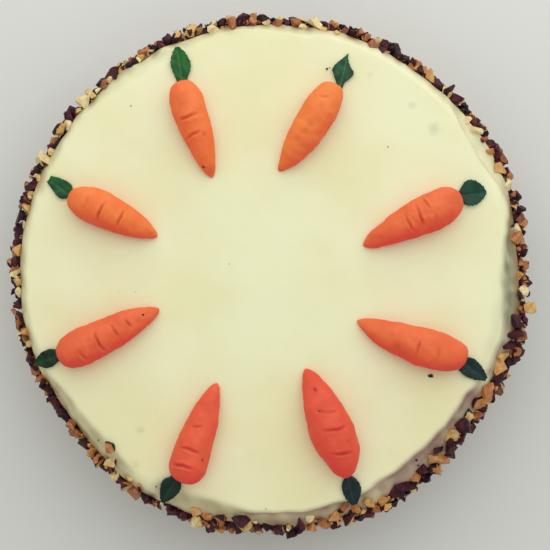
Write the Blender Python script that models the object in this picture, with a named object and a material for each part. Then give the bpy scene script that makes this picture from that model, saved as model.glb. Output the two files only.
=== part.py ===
"""A round iced carrot cake, built as separate solids in metres, with +Z up.

The iced cake stands on z = 0. A coat of chopped nuts goes round its side, and eight marzipan
carrots lie on top like the spokes of a wheel, each with a green leaf at its thick end.
Angles are in degrees, anticlockwise from +X as seen from above.
"""

import math
import random

import bmesh
import bpy
from mathutils import Vector

MM = 0.001
GAP = 0.3 * MM  # clear space where one solid rests on or against another

# Iced cake
CAKE_RADIUS = 126 * MM
CAKE_HEIGHT = 65 * MM
CAKE_SIDES = 96
FOOT_ROUND = 1.5 * MM  # how far the foot of the side turns in
SHOULDER_STEPS = 5
SHOULDER_WIDTH = 7.6 * MM  # mean width of the rounded edge, seen from above
SHOULDER_SWING = 3.8 * MM  # the edge is this much wider on its slack side
SHOULDER_DROP = 8.0 * MM  # mean height of the rounded edge
DROP_SWING = 2.5 * MM
SHOULDER_RIPPLE = 0.5 * MM  # the width wavers by this much
RIPPLE_WAVES = 5
RIPPLE_START = 40.0
SHOULDER_POWER = 1.6  # 1 for a straight slope, 2 for a quarter of an ellipse
SLACK_SIDE = -50.0
TOP_RINGS = (0.93, 0.6, 0.25)  # radii of the loops on the flat top, as shares of its edge

# Places where the palette knife pressed the rim in: angle, depth and reach along the rim
PRESSED = [
    (6.0, 2.6 * MM, 11.0),
    (50.0, 0.9 * MM, 13.0),
    (84.0, 0.9 * MM, 5.0),
    (146.0, 0.6 * MM, 8.0),
    (180.0, 0.6 * MM, 7.0),
    (216.0, 2.7 * MM, 15.0),
    (266.0, 1.4 * MM, 7.0),
    (324.0, 2.2 * MM, 17.0),
]

# Coat of chopped nuts
NUT_SIZE = 7 * MM  # pitch of the relief
COAT_THICKNESS = 2.2 * MM  # at the hollows between the pieces
NUT_RELIEF = 4.2 * MM  # how far the largest pieces stand out of the hollows
COAT_CLIMB = 10.0  # how far up the rounded edge the coat reaches, from 0 to 90
COAT_CLIMB_STEPS = 3
COAT_SEED = 11

# Places where more nuts were pressed on, further up the edge: angle, added climb and reach
HEAPED = [
    (96.0, 14.0, 8.0),
    (142.0, 12.0, 9.0),
    (284.0, 30.0, 12.0),
    (322.0, 40.0, 12.0),
    (352.0, 24.0, 8.0),
]

# Places with larger or smaller pieces: angle, change to the relief as a share, and reach
PIECE_CHANGE = [
    (53.0, -0.5, 13.0),
    (121.0, -0.5, 7.0),
    (145.0, 0.3, 8.0),
    (219.0, -0.75, 20.0),
    (264.0, 0.35, 7.0),
    (356.0, 0.5, 9.0),
]

# Marzipan carrots
CARROT_SIDES = 12
CARROT_ROUNDNESS = 0.84  # height of a full cross-section as a share of its width
CARROT_SUNK = 0.22  # share of the lower half that is flattened against the icing
CARROT_STATIONS = (0.012, 0.045, 0.1, 0.18, 0.3, 0.5, 0.66, 0.78, 0.88, 0.95, 0.985)
CROWN_CURVE = 2.2
BEND_CURVE = 0.6  # below 1, so that a bend is strongest nearer the crown
TIP_LIFT = 0.3 * MM
CREASE_REACH = 0.022  # half the length of carrot that a crease takes up, as a share of its length

# Leaves
LEAF_STATIONS = 8
LEAF_RIB = 1.4 * MM  # thickness at the middle rib
LEAF_EDGE = 0.5 * MM
LEAF_FOLD = 1.5 * MM  # how far the two edges rise above the rib
LEAF_TUCK = 2.5 * MM  # length that lies under the crown of the carrot
LEAF_ACROSS = (-1.0, -0.55, 0.0, 0.55, 1.0)

# One entry for each carrot.
#   at: angle and distance from the cake's axis of the crown, which is the thick end
#   heading: direction from the tip to the crown
#   widest: share of the length from the crown
#   blunt: 0.3 for a square crown, 0.5 for a round one
#   skew: how far the left side of the crown stands out beyond the right, for its width
#   taper, point: shape of the tip
#   bend, lean: how far the middle and the tip stand off the straight axis, to the left
#   creases: place along the carrot, middle and half reach round it in degrees from the top,
#   to the left, and depth
# A leaf starts at the crown, out along the heading and off to the left, and its turn is from the
# heading. Its base and tip are shares of its width, its belly is the widest place along it, and
# full is 1 for straight edges beyond the belly and 2 for round ones.
CARROTS = [
    dict(
        at=(23.0, 100.5 * MM), heading=26.5, length=53.5 * MM, width=19.0 * MM,
        widest=0.28, blunt=0.40, skew=0.0, taper=1.7, point=0.55, bend=-0.3 * MM, lean=-0.6 * MM,
        creases=[(0.34, 30, 34, 0.7 * MM), (0.44, -20, 42, 0.9 * MM), (0.56, -24, 34, 0.8 * MM)],
        leaf=dict(start=(0.0, 1.5 * MM), turn=-22.0, length=13.5 * MM, width=12.4 * MM,
                  base=0.40, belly=0.46, tip=0.2, full=2.0, droop=0.0),
    ),
    dict(
        at=(72.2, 99.0 * MM), heading=58.6, length=50.5 * MM, width=17.8 * MM,
        widest=0.27, blunt=0.36, skew=-0.18, taper=2.1, point=0.60, bend=-1.2 * MM, lean=0.8 * MM,
        creases=[(0.20, 5, 26, 0.35 * MM), (0.62, 15, 24, 0.35 * MM)],
        leaf=dict(start=(0.6 * MM, -3.4 * MM), turn=17.5, length=17.0 * MM, width=11.0 * MM,
                  base=0.25, belly=0.42, tip=0.04, full=1.1, droop=0.0),
    ),
    dict(
        at=(115.5, 105.5 * MM), heading=108.5, length=49.5 * MM, width=18.0 * MM,
        widest=0.26, blunt=0.39, skew=0.0, taper=1.6, point=0.60, bend=-0.4 * MM, lean=-0.3 * MM,
        creases=[(0.38, -8, 30, 0.8 * MM), (0.56, -4, 28, 0.8 * MM)],
        leaf=dict(start=(0.0, -1.3 * MM), turn=-10.0, length=17.5 * MM, width=10.5 * MM,
                  base=0.52, belly=0.46, tip=0.10, full=1.6, droop=0.3 * MM),
    ),
    dict(
        at=(158.15, 107.0 * MM), heading=155.5, length=47.5 * MM, width=18.0 * MM,
        widest=0.32, blunt=0.41, skew=0.0, taper=1.8, point=0.58, bend=0.2 * MM, lean=0.8 * MM,
        creases=[(0.20, 10, 34, 0.35 * MM), (0.385, 18, 44, 0.9 * MM), (0.59, 20, 36, 0.9 * MM)],
        leaf=dict(start=(-0.1 * MM, -1.9 * MM), turn=-11.0, length=13.2 * MM, width=9.5 * MM,
                  base=0.70, belly=0.22, tip=0.24, full=1.3, droop=0.2 * MM),
    ),
    dict(
        at=(201.0, 112.0 * MM), heading=206.0, length=54.5 * MM, width=19.0 * MM,
        widest=0.25, blunt=0.38, skew=0.0, taper=1.8, point=0.56, bend=0.3 * MM, lean=0.1 * MM,
        creases=[(0.235, 24, 34, 0.5 * MM), (0.41, 8, 46, 0.9 * MM), (0.57, 6, 34, 0.7 * MM),
                 (0.70, -2, 24, 0.6 * MM)],
        leaf=dict(start=(0.0, 0.5 * MM), turn=-9.0, length=12.0 * MM, width=9.5 * MM,
                  base=0.55, belly=0.40, tip=0.12, full=1.6, droop=0.9 * MM),
    ),
    dict(
        at=(246.5, 110.2 * MM), heading=250.5, length=51.2 * MM, width=19.2 * MM,
        widest=0.24, blunt=0.37, skew=0.0, taper=1.6, point=0.58, bend=-0.6 * MM, lean=-0.2 * MM,
        creases=[(0.17, 8, 42, 0.9 * MM), (0.35, 14, 32, 0.7 * MM), (0.56, -12, 20, 0.45 * MM)],
        leaf=dict(start=(-0.2 * MM, -3.3 * MM), turn=-11.0, length=14.0 * MM, width=9.5 * MM,
                  base=0.60, belly=0.32, tip=0.14, full=1.5, droop=0.9 * MM),
    ),
    dict(
        at=(290.5, 105.0 * MM), heading=289.5, length=56.5 * MM, width=23.2 * MM,
        widest=0.38, blunt=0.56, skew=0.0, taper=1.45, point=0.62, bend=0.5 * MM, lean=-1.4 * MM,
        creases=[(0.23, 10, 38, 0.9 * MM), (0.445, 6, 40, 0.9 * MM), (0.62, -8, 30, 0.6 * MM),
                 (0.83, -6, 24, 0.4 * MM)],
        leaf=dict(start=(0.0, 0.5 * MM), turn=-6.0, length=15.0 * MM, width=9.5 * MM,
                  base=0.36, belly=0.42, tip=0.36, full=1.8, droop=0.6 * MM),
    ),
    dict(
        at=(336.5, 103.5 * MM), heading=342.0, length=56.5 * MM, width=19.5 * MM,
        widest=0.33, blunt=0.35, skew=0.12, taper=2.0, point=0.72, bend=-0.3 * MM, lean=1.9 * MM,
        creases=[(0.245, 0, 30, 0.4 * MM), (0.43, 22, 30, 0.8 * MM)],
        leaf=dict(start=(-0.1 * MM, -1.5 * MM), turn=-19.0, length=14.0 * MM, width=10.0 * MM,
                  base=0.75, belly=0.28, tip=0.24, full=1.8, droop=0.4 * MM),
    ),
]


def material(name, colour, roughness):
    made = bpy.data.materials.new(name)
    made.use_nodes = True
    shader = made.node_tree.nodes["Principled BSDF"]
    shader.inputs["Base Color"].default_value = (*colour, 1.0)
    shader.inputs["Roughness"].default_value = roughness
    shader.inputs["Metallic"].default_value = 0.0
    made.diffuse_color = (*colour, 1.0)
    return made


def add_rings(bm, rings):
    """Skins a row of equal closed rings of points, and returns their vertices."""
    rows = [[bm.verts.new(point) for point in ring] for ring in rings]
    for lower, upper in zip(rows, rows[1:]):
        count = len(lower)
        for i in range(count):
            j = (i + 1) % count
            bm.faces.new((lower[i], lower[j], upper[j], upper[i]))
    return rows


def add_fan(bm, row, centre):
    """Closes the end of a skin with triangles to one point."""
    tip = bm.verts.new(centre)
    for i, vertex in enumerate(row):
        bm.faces.new((vertex, row[(i + 1) % len(row)], tip))


def finish(bm, name, finish_material, parent, crisp_angle=180.0):
    """Turns the bmesh into a named object with outward faces."""
    bmesh.ops.recalc_face_normals(bm, faces=bm.faces)
    mesh = bpy.data.meshes.new(name)
    bm.to_mesh(mesh)
    bm.free()
    mesh.materials.append(finish_material)
    mesh.shade_smooth()
    mesh.set_sharp_from_angle(angle=math.radians(crisp_angle))
    made = bpy.data.objects.new(name, mesh)
    bpy.context.scene.collection.objects.link(made)
    made.parent = parent
    return made


def turned(angle_a, angle_b):
    """Signed difference of two angles, from -180 to 180."""
    return (angle_a - angle_b + 180.0) % 360.0 - 180.0


def polar(angle, radius, height):
    a = math.radians(angle)
    return Vector((radius * math.cos(a), radius * math.sin(a), height))


def bumps(angle, places):
    """Sum of the smooth bumps in a list of (angle, size, reach)."""
    return sum(size * math.exp(-((turned(angle, at) / reach) ** 2)) for at, size, reach in places)


def rim_radius(angle):
    """Outline of the iced side, seen from above."""
    return CAKE_RADIUS - bumps(angle, PRESSED)


def shoulder(angle):
    """Width and height of the rounded upper edge, which slumped furthest on the slack side."""
    slack = math.cos(math.radians(angle - SLACK_SIDE))
    ripple = SHOULDER_RIPPLE * math.sin(math.radians(RIPPLE_WAVES * angle + RIPPLE_START))
    return (
        SHOULDER_WIDTH + SHOULDER_SWING * slack + ripple,
        SHOULDER_DROP + DROP_SWING * slack,
    )


def shoulder_point(angle, climb, off=0.0):
    """(radius, height) on the rounded edge, from its foot at 0 to the flat top at 90.

    The point stands off the icing by the given distance.
    """
    rim = rim_radius(angle)
    width, drop = shoulder(angle)
    c = max(0.0, math.cos(math.radians(climb))) ** (2 / SHOULDER_POWER)
    s = math.sin(math.radians(climb)) ** (2 / SHOULDER_POWER)
    out = drop * c ** (SHOULDER_POWER - 1)
    up = width * s ** (SHOULDER_POWER - 1)
    steep = math.hypot(out, up)
    return (
        rim - width * (1 - c) + off * out / steep,
        CAKE_HEIGHT - drop * (1 - s) + off * up / steep,
    )


def iced_profile(angle):
    """(radius, height) from the foot of the side up to the edge of the flat top."""
    rim = rim_radius(angle)
    foot = [
        (rim - FOOT_ROUND, 0.0),
        (rim - 0.3 * FOOT_ROUND, 0.4 * FOOT_ROUND),
        (rim, 1.6 * FOOT_ROUND),
    ]
    steps = range(SHOULDER_STEPS + 1)
    return foot + [shoulder_point(angle, 90.0 * i / SHOULDER_STEPS) for i in steps]


def make_iced_cake(parent, icing):
    angles = [360.0 * i / CAKE_SIDES for i in range(CAKE_SIDES)]
    profiles = [iced_profile(angle) for angle in angles]
    rings = [
        [polar(angle, *profile[k]) for angle, profile in zip(angles, profiles)]
        for k in range(len(profiles[0]))
    ]
    for share in TOP_RINGS:
        rings.append([
            polar(angle, share * profile[-1][0], CAKE_HEIGHT)
            for angle, profile in zip(angles, profiles)
        ])
    bm = bmesh.new()
    rows = add_rings(bm, rings)
    bm.faces.new(rows[0])
    add_fan(bm, rows[-1], (0.0, 0.0, CAKE_HEIGHT))
    return finish(bm, "iced_cake", icing, parent, crisp_angle=60.0)


def coat_inside(angle):
    """(radius, height) of the coat's inner face, which follows the icing at the usual gap."""
    climb = COAT_CLIMB + bumps(angle, HEAPED)
    points = [(rim_radius(angle) + GAP, 0.0)]
    for i in range(COAT_CLIMB_STEPS + 1):
        points.append(shoulder_point(angle, climb * i / COAT_CLIMB_STEPS, GAP))
    return points


def coat_outside(angle, chance):
    """(radius, height) of the coat's outer face, with a lump or a hollow at each nut."""
    relief = NUT_RELIEF * (1 + bumps(angle, PIECE_CHANGE))
    wall_top = shoulder_point(angle, 0.0)[1]
    wall_rows = round((CAKE_HEIGHT - SHOULDER_DROP) / NUT_SIZE)
    points = []
    for k in range(wall_rows):
        reach = COAT_THICKNESS + relief * chance.random() ** 1.6
        shift = 0.25 * NUT_SIZE * chance.uniform(-1, 1) if k else 0.0
        edge = 0.6 if k == 0 else 1.0
        points.append((rim_radius(angle) + GAP + edge * reach, wall_top * k / wall_rows + shift))
    climb = COAT_CLIMB + bumps(angle, HEAPED)
    for i in range(COAT_CLIMB_STEPS + 1):
        edge = 0.5 if i == COAT_CLIMB_STEPS else 1.0
        reach = GAP + edge * (COAT_THICKNESS + relief * chance.random() ** 1.6)
        points.append(shoulder_point(angle, climb * i / COAT_CLIMB_STEPS, reach))
    return points


def make_nut_coat(parent, nuts):
    """A ring of one solid round the side, out to the uneven outline of the pieces."""
    chance = random.Random(COAT_SEED)
    angles = [360.0 * i / CAKE_SIDES for i in range(CAKE_SIDES)]
    loops = [coat_inside(angle) + coat_outside(angle, chance)[::-1] for angle in angles]
    rings = [
        [polar(angle, *loop[k]) for angle, loop in zip(angles, loops)]
        for k in range(len(loops[0]))
    ]
    bm = bmesh.new()
    rows = add_rings(bm, rings)
    for i, low in enumerate(rows[0]):
        j = (i + 1) % CAKE_SIDES
        bm.faces.new((rows[-1][i], rows[-1][j], rows[0][j], low))
    return finish(bm, "nut_coat", nuts, parent, crisp_angle=25.0)


def carrot_half_width(spec, s):
    """Half width at the share s of the length, from the crown at 0 to the tip at 1."""
    if s <= spec["widest"]:
        share = (1 - (1 - s / spec["widest"]) ** CROWN_CURVE) ** spec["blunt"]
    else:
        u = (s - spec["widest"]) / (1 - spec["widest"])
        share = (1 - u ** spec["taper"]) ** spec["point"]
    return spec["width"] / 2 * share


def carrot_side_step(spec, s):
    """How far the middle of the carrot stands to the left of its straight axis."""
    belly = spec["bend"] * math.sin(math.pi * s**BEND_CURVE)
    return belly + spec["lean"] * max(0.0, 2 * s - 1) ** 2


def carrot_axis_height(spec, s):
    """Height of the middle of a cross-section above the icing. The tip lies down on it."""
    half = carrot_half_width(spec, max(s, spec["widest"]))
    return (1 - CARROT_SUNK) * CARROT_ROUNDNESS * half


def crease_depth(spec, s, around):
    """Depth of the pressed lines, where around is degrees from the top, to the left."""
    depth = 0.0
    for at, middle, reach, deep in spec["creases"]:
        along = (s - at) / (0.5 * CREASE_REACH)
        depth += deep * math.exp(-(along**2) - (turned(around, middle) / reach) ** 2)
    return depth


def carrot_ring(spec, s, swell):
    """One cross-section: an ellipse, pressed in at the creases and flattened underneath."""
    half = carrot_half_width(spec, s)
    middle = Vector((-s * spec["length"], carrot_side_step(spec, s), carrot_axis_height(spec, s)))
    ring = []
    for i in range(CARROT_SIDES):
        around = 360.0 * (i + 0.5) / CARROT_SIDES - 90.0
        a = math.radians(around)
        reach = half - crease_depth(spec, s, turned(around, 90.0)) + swell
        side = reach * math.cos(a)
        forward = spec["skew"] * side * (1 - s) ** 4
        z = middle.z + CARROT_ROUNDNESS * reach * math.sin(a)
        ring.append(Vector((middle.x + forward, middle.y + side, max(z, -swell))))
    return ring


def carrot_mesh(spec, swell=0.0):
    """The marzipan root in its own frame: crown at the origin, tip towards -X, icing at z = 0."""
    stations = set(CARROT_STATIONS)
    for at, *_ in spec["creases"]:
        stations = {s for s in stations if abs(s - at) > 1.5 * CREASE_REACH}
        stations |= {at - CREASE_REACH, at, at + CREASE_REACH}
    bm = bmesh.new()
    rows = add_rings(bm, [carrot_ring(spec, s, swell) for s in sorted(stations)])
    add_fan(bm, rows[0], (swell, 0.0, carrot_axis_height(spec, 0.0)))
    add_fan(bm, rows[-1], (-spec["length"] - swell, carrot_side_step(spec, 1.0), TIP_LIFT - swell))
    return bm


def leaf_half_width(leaf, t):
    """Half width at the share t of the leaf's length, from its base to its tip."""
    if t <= leaf["belly"]:
        rise = math.sin(math.pi / 2 * max(t, 0.0) / leaf["belly"])
        share = leaf["base"] + (1 - leaf["base"]) * rise
    else:
        u = (t - leaf["belly"]) / (1 - leaf["belly"])
        share = leaf["tip"] + (1 - leaf["tip"]) * (1 - u ** leaf["full"]) ** 0.9
    return leaf["width"] / 2 * share


def leaf_mesh(leaf):
    """A folded blade in its own frame: base at the origin, tip towards +X, resting on z = 0."""
    rings = []
    for k in range(LEAF_STATIONS):
        start = -LEAF_TUCK / leaf["length"]
        t = start + (1 - start) * k / (LEAF_STATIONS - 1)
        half = leaf_half_width(leaf, t)
        fold = LEAF_FOLD * min(1.0, half / (0.5 * leaf["width"])) * min(1.0, (t - start) / 0.3)
        sag = leaf["droop"] * max(t, 0.0) ** 2
        under, over = [], []
        for u in LEAF_ACROSS:
            z = fold * abs(u) - sag
            thick = LEAF_RIB + (LEAF_EDGE - LEAF_RIB) * abs(u)
            under.append(Vector((t * leaf["length"], u * half, z)))
            over.append(Vector((t * leaf["length"], u * half, z + thick)))
        rings.append(under + over[::-1])
    bm = bmesh.new()
    rows = add_rings(bm, rings)
    bm.faces.new(rows[0])
    bm.faces.new(rows[-1])
    bmesh.ops.triangulate(bm, faces=bm.faces)
    return bm


def make_carrot(number, spec, parent, marzipan, leaf_green):
    """A carrot and its leaf. The leaf is cut back to clear the underside of the crown."""
    angle, distance = spec["at"]
    made = finish(carrot_mesh(spec), f"carrot_{number}", marzipan, parent)
    made.location = polar(angle, distance, CAKE_HEIGHT + GAP)
    made.rotation_euler.z = math.radians(spec["heading"])

    clearance = finish(carrot_mesh(spec, swell=GAP), f"cutter_{number}", marzipan, parent)
    clearance.location = made.location
    clearance.rotation_euler = made.rotation_euler
    clearance.hide_render = True
    clearance.display_type = "WIRE"

    leaf = finish(leaf_mesh(spec["leaf"]), f"leaf_{number}", leaf_green, parent, crisp_angle=40.0)
    base = Vector((*spec["leaf"]["start"], 0.0))
    base.rotate(made.rotation_euler)
    leaf.location = made.location + base
    leaf.rotation_euler.z = math.radians(spec["heading"] + spec["leaf"]["turn"])
    cut = leaf.modifiers.new("clear_of_crown", "BOOLEAN")
    cut.operation = "DIFFERENCE"
    cut.solver = "EXACT"
    cut.object = clearance
    return made, leaf


def main():
    for old in list(bpy.data.objects):
        bpy.data.objects.remove(old)
    cake = bpy.data.objects.new("carrot_cake", None)
    bpy.context.scene.collection.objects.link(cake)
    icing = material("cream_icing", (0.855, 0.838, 0.60), 0.45)
    nuts = material("chopped_nuts", (0.33, 0.17, 0.085), 0.65)
    marzipan = material("orange_marzipan", (0.84, 0.17, 0.04), 0.55)
    leaf_green = material("green_marzipan", (0.02, 0.13, 0.06), 0.5)
    make_iced_cake(cake, icing)
    make_nut_coat(cake, nuts)
    for number, spec in enumerate(CARROTS, start=1):
        make_carrot(number, spec, cake, marzipan, leaf_green)


main()
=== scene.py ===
import math

import bmesh
import bpy
import numpy as np
from mathutils import Matrix, Vector


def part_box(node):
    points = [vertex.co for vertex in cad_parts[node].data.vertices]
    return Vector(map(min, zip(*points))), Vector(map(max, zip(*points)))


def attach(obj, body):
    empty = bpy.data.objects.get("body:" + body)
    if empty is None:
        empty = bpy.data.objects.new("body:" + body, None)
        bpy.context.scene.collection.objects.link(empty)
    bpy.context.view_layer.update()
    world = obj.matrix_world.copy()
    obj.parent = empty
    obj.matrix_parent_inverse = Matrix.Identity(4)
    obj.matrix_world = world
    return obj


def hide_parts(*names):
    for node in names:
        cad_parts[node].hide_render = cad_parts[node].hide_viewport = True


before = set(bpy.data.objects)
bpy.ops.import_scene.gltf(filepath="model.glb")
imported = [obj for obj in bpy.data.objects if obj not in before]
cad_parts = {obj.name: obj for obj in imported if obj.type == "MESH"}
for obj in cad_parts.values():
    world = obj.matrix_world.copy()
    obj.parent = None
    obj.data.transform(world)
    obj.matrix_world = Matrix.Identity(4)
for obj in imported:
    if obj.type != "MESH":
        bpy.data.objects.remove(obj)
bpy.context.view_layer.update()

mm = 0.001
print("frame loaded:", len(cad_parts), "solids")


# Reading the frame

def cadPoints(node):
    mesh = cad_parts[node].data
    points = np.empty(len(mesh.vertices) * 3, np.float32)
    mesh.vertices.foreach_get("co", points)
    return points.reshape(-1, 3).astype(float)


def cadEdges(node):
    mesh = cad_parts[node].data
    edges = np.empty(len(mesh.edges) * 2, np.int32)
    mesh.edges.foreach_get("vertices", edges)
    return edges.reshape(-1, 2)


# Points of a round solid, sorted into its upright slices: one (radius, height) array each
def uprightSlices(node):
    points = cadPoints(node)
    radius = np.hypot(points[:, 0], points[:, 1])
    angle = np.degrees(np.arctan2(points[:, 1], points[:, 0])) % 360
    rim = radius > 0.2 * radius.max()
    steps = np.diff(np.sort(angle[rim]))
    sides = int(round(360 / np.median(steps[steps > 0.5])))
    index = np.round(angle * sides / 360).astype(int) % sides
    return [
        np.stack([radius[rim & (index == i)], points[rim & (index == i), 2]], 1)
        for i in range(sides)
    ]


# A smooth loop through values given at even angles, to be read at any angle in degrees
def smoothLoop(values):
    sides = len(values)
    fine = np.fft.irfft(np.fft.rfft(values), sides * 16) * 16
    at = np.arange(sides * 16) * 360 / (sides * 16)
    return lambda angle: np.interp(angle, at, fine, period=360)


# Left and right reach, lowest and highest point where upright planes cut a solid
def slicesOf(node, start, along, stations):
    points, edges = cadPoints(node), cadEdges(node)
    depth = (points - start) @ along
    side = (points - start) @ np.array((-along[1], along[0], 0.0))
    rows = []
    for station in stations:
        a, b = depth[edges[:, 0]] - station, depth[edges[:, 1]] - station
        hit = (a * b <= 0) & (a != b)
        share = a[hit] / (a[hit] - b[hit])
        first, second = edges[hit].T
        across = side[first] + share * (side[second] - side[first])
        height = points[first, 2] + share * (points[second, 2] - points[first, 2])
        rows.append((across.min(), across.max(), height.min(), height.max()))
    return np.array(rows)


# Direction of a long solid seen from above, pointing away from a given place
def planAxis(node, awayFrom):
    points = cadPoints(node)
    middle = points.mean(0)
    flat = points[:, :2] - middle[:2]
    along = np.append(np.linalg.eigh(flat.T @ flat)[1][:, 1], 0.0)
    if (middle - awayFrom) @ along < 0:
        along = -along
    reach = (points - middle) @ along
    return middle + along * reach.min(), along, reach.max() - reach.min()


# Mesh helpers

def smear(values, spread, ends="hold"):
    steps = np.arange(-4 * spread, 4 * spread + 1)
    kernel = np.exp(-0.5 * (steps / spread) ** 2)
    kernel /= kernel.sum()
    pad = len(steps) // 2
    if ends == "zero":
        longer = np.concatenate([-values[:pad][::-1], values, -values[-pad:][::-1]])
    else:
        longer = np.pad(values, pad, mode="edge")
    return np.convolve(longer, kernel, mode="valid")


# An uneven field without grain, from about -1 to 1, whose bumps are about a pitch apart
def waves(points, pitch, seed, count=9):
    chance = np.random.default_rng(seed)
    total = np.zeros(points.shape[:-1])
    for _ in range(count):
        direction = chance.normal(size=3)
        direction /= np.linalg.norm(direction)
        length = pitch * chance.uniform(0.7, 1.7)
        total += np.sin(points @ direction * (2 * math.pi / length) + chance.uniform(0, 6.3))
    return total / math.sqrt(count)


def loftFaces(rows, columns):
    i = np.arange(rows - 1)[:, None] * columns
    j = np.arange(columns)[None, :]
    k = (j + 1) % columns
    quads = np.stack([i + j, i + k, i + columns + k, i + columns + j], -1)
    return quads.reshape(-1, 4).tolist()


def fanFaces(ring, pole, closing=False):
    following = np.roll(ring, -1)
    pairs = (following, ring) if closing else (ring, following)
    return [[int(a), int(b), pole] for a, b in zip(*pairs)]


# A loft with a fan at each end, to the two points that follow its rows
def closedLoft(rows, columns):
    first, last = np.arange(columns), rows * columns
    faces = loftFaces(rows, columns) + fanFaces(first, last, closing=True)
    return faces + fanFaces(first + last - columns, last + 1)


def addToScene(name, content):
    made = bpy.data.objects.new(name, content)
    bpy.context.scene.collection.objects.link(made)
    return made


def makePiece(name, points, faces, materials, replaced=(), crispAngle=180):
    mesh = bpy.data.meshes.new(name)
    mesh.from_pydata(np.asarray(points).tolist(), [], faces)
    for material in materials:
        mesh.materials.append(material)
    mesh.shade_smooth()
    if crispAngle < 180:
        mesh.set_sharp_from_angle(angle=math.radians(crispAngle))
    piece = addToScene(name, mesh)
    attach(piece, "root")
    if replaced:
        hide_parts(*replaced)
    return piece


def turnOutward(piece):
    bm = bmesh.new()
    bm.from_mesh(piece.data)
    bmesh.ops.recalc_face_normals(bm, faces=bm.faces[:])
    bm.to_mesh(piece.data)
    bm.free()


def giveValue(piece, label, values, domain="POINT"):
    layer = piece.data.attributes.new(label, "FLOAT", domain)
    layer.data.foreach_set("value", np.asarray(values, np.float32).ravel())


# Material helpers

def shade(red, green, blue):
    def linear(value):
        value /= 255
        return value / 12.92 if value <= 0.04045 else ((value + 0.055) / 1.055) ** 2.4
    return linear(red), linear(green), linear(blue), 1.0


def addNode(tree, kind, values=None, **settings):
    made = tree.nodes.new(kind)
    for label, value in settings.items():
        setattr(made, label, value)
    for label, value in (values or {}).items():
        if isinstance(value, bpy.types.NodeSocket):
            tree.links.new(value, made.inputs[label])
        else:
            made.inputs[label].default_value = value
    return made


def newGroup(label, inputs, outputs):
    tree = bpy.data.node_groups.new(label, "ShaderNodeTree")
    for name, kind, value in inputs:
        socket = tree.interface.new_socket(name, in_out="INPUT", socket_type="NodeSocket" + kind)
        socket.default_value = value
    for name, kind in outputs:
        tree.interface.new_socket(name, in_out="OUTPUT", socket_type="NodeSocket" + kind)
    return tree, tree.nodes.new("NodeGroupInput").outputs, tree.nodes.new("NodeGroupOutput").inputs


def useGroup(tree, group, values):
    return addNode(tree, "ShaderNodeGroup", values, node_tree=group).outputs


def placeOn(tree):
    return addNode(tree, "ShaderNodeTexCoord").outputs["Object"]


# A noise or a pattern of cells that stays put on its piece
def texture(tree, kind, where=None, **values):
    values["Vector"] = placeOn(tree) if where is None else where
    return addNode(tree, "ShaderNodeTex" + kind, values).outputs


def calculate(tree, operation, a, b=0.0, c=0.0, clamp=False):
    return addNode(tree, "ShaderNodeMath", {0: a, 1: b, 2: c}, operation=operation,
                   use_clamp=clamp).outputs[0]


def times(tree, a, b):
    return calculate(tree, "MULTIPLY", a, b)


def blendColours(tree, share, first, second, mode="MIX"):
    made = addNode(tree, "ShaderNodeMix", {0: share, 6: first, 7: second}, data_type="RGBA",
                   blend_type=mode)
    return made.outputs[2]


def remap(tree, value, low, high, toLow=0.0, toHigh=1.0):
    return addNode(tree, "ShaderNodeMapRange", {
        "Value": value, "From Min": low, "From Max": high, "To Min": toLow, "To Max": toHigh,
    }, interpolation_type="SMOOTHSTEP").outputs[0]


def readValue(tree, label):
    return addNode(tree, "ShaderNodeAttribute", attribute_name=label).outputs["Fac"]


def newMaterial(label, roughness, specular=0.5):
    made = bpy.data.materials.new(label)
    made.use_nodes = True
    shader = made.node_tree.nodes["Principled BSDF"]
    shader.inputs["Roughness"].default_value = roughness
    shader.inputs["Specular IOR Level"].default_value = specular
    return made, made.node_tree, shader


def softenInside(shader, weight, scale, radius):
    shader.inputs["Subsurface Weight"].default_value = weight
    shader.inputs["Subsurface Scale"].default_value = scale
    shader.inputs["Subsurface Radius"].default_value = radius


# Gloss that varies with a mask, by a spread round a middle roughness
def roughen(tree, shader, mask, middle, spread):
    rough = calculate(tree, "MULTIPLY_ADD", mask, spread, middle - spread / 2)
    tree.links.new(rough, shader.inputs["Roughness"])


def paint(tree, shader, colour, height, distance, strength):
    bump = addNode(tree, "ShaderNodeBump",
                   {"Height": height, "Distance": distance, "Strength": strength})
    tree.links.new(bump.outputs["Normal"], shader.inputs["Normal"])
    tree.links.new(colour, shader.inputs["Base Color"])


# Uneven tone and fine relief of a soft paste: icing, marzipan and the flesh of nuts have it
def makePasteGroup():
    tree, given, results = newGroup(
        "softPaste",
        [("Broad", "Float", 40.0), ("Fine", "Float", 600.0), ("Pits", "Float", 0.3)],
        [("Mottle", "Float"), ("Height", "Float")],
    )
    broad = texture(tree, "Noise", Scale=given["Broad"], Detail=3.0, Roughness=0.5)[0]
    fine = texture(tree, "Noise", Scale=given["Fine"], Detail=4.0, Roughness=0.6)[0]
    cells = texture(tree, "Voronoi", Scale=times(tree, given["Fine"], 0.45))
    pit = remap(tree, cells["Distance"], 0.05, 0.16, 1.0, 0.0)
    rare = remap(tree, cells["Color"], 0.72, 0.8)
    pitted = times(tree, times(tree, pit, rare), given["Pits"])
    height = calculate(tree, "MULTIPLY_ADD", fine, 0.5, times(tree, broad, 0.9))
    tree.links.new(calculate(tree, "SUBTRACT", height, pitted), results["Height"])
    tree.links.new(remap(tree, broad, 0.3, 0.7), results["Mottle"])
    return tree


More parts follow.
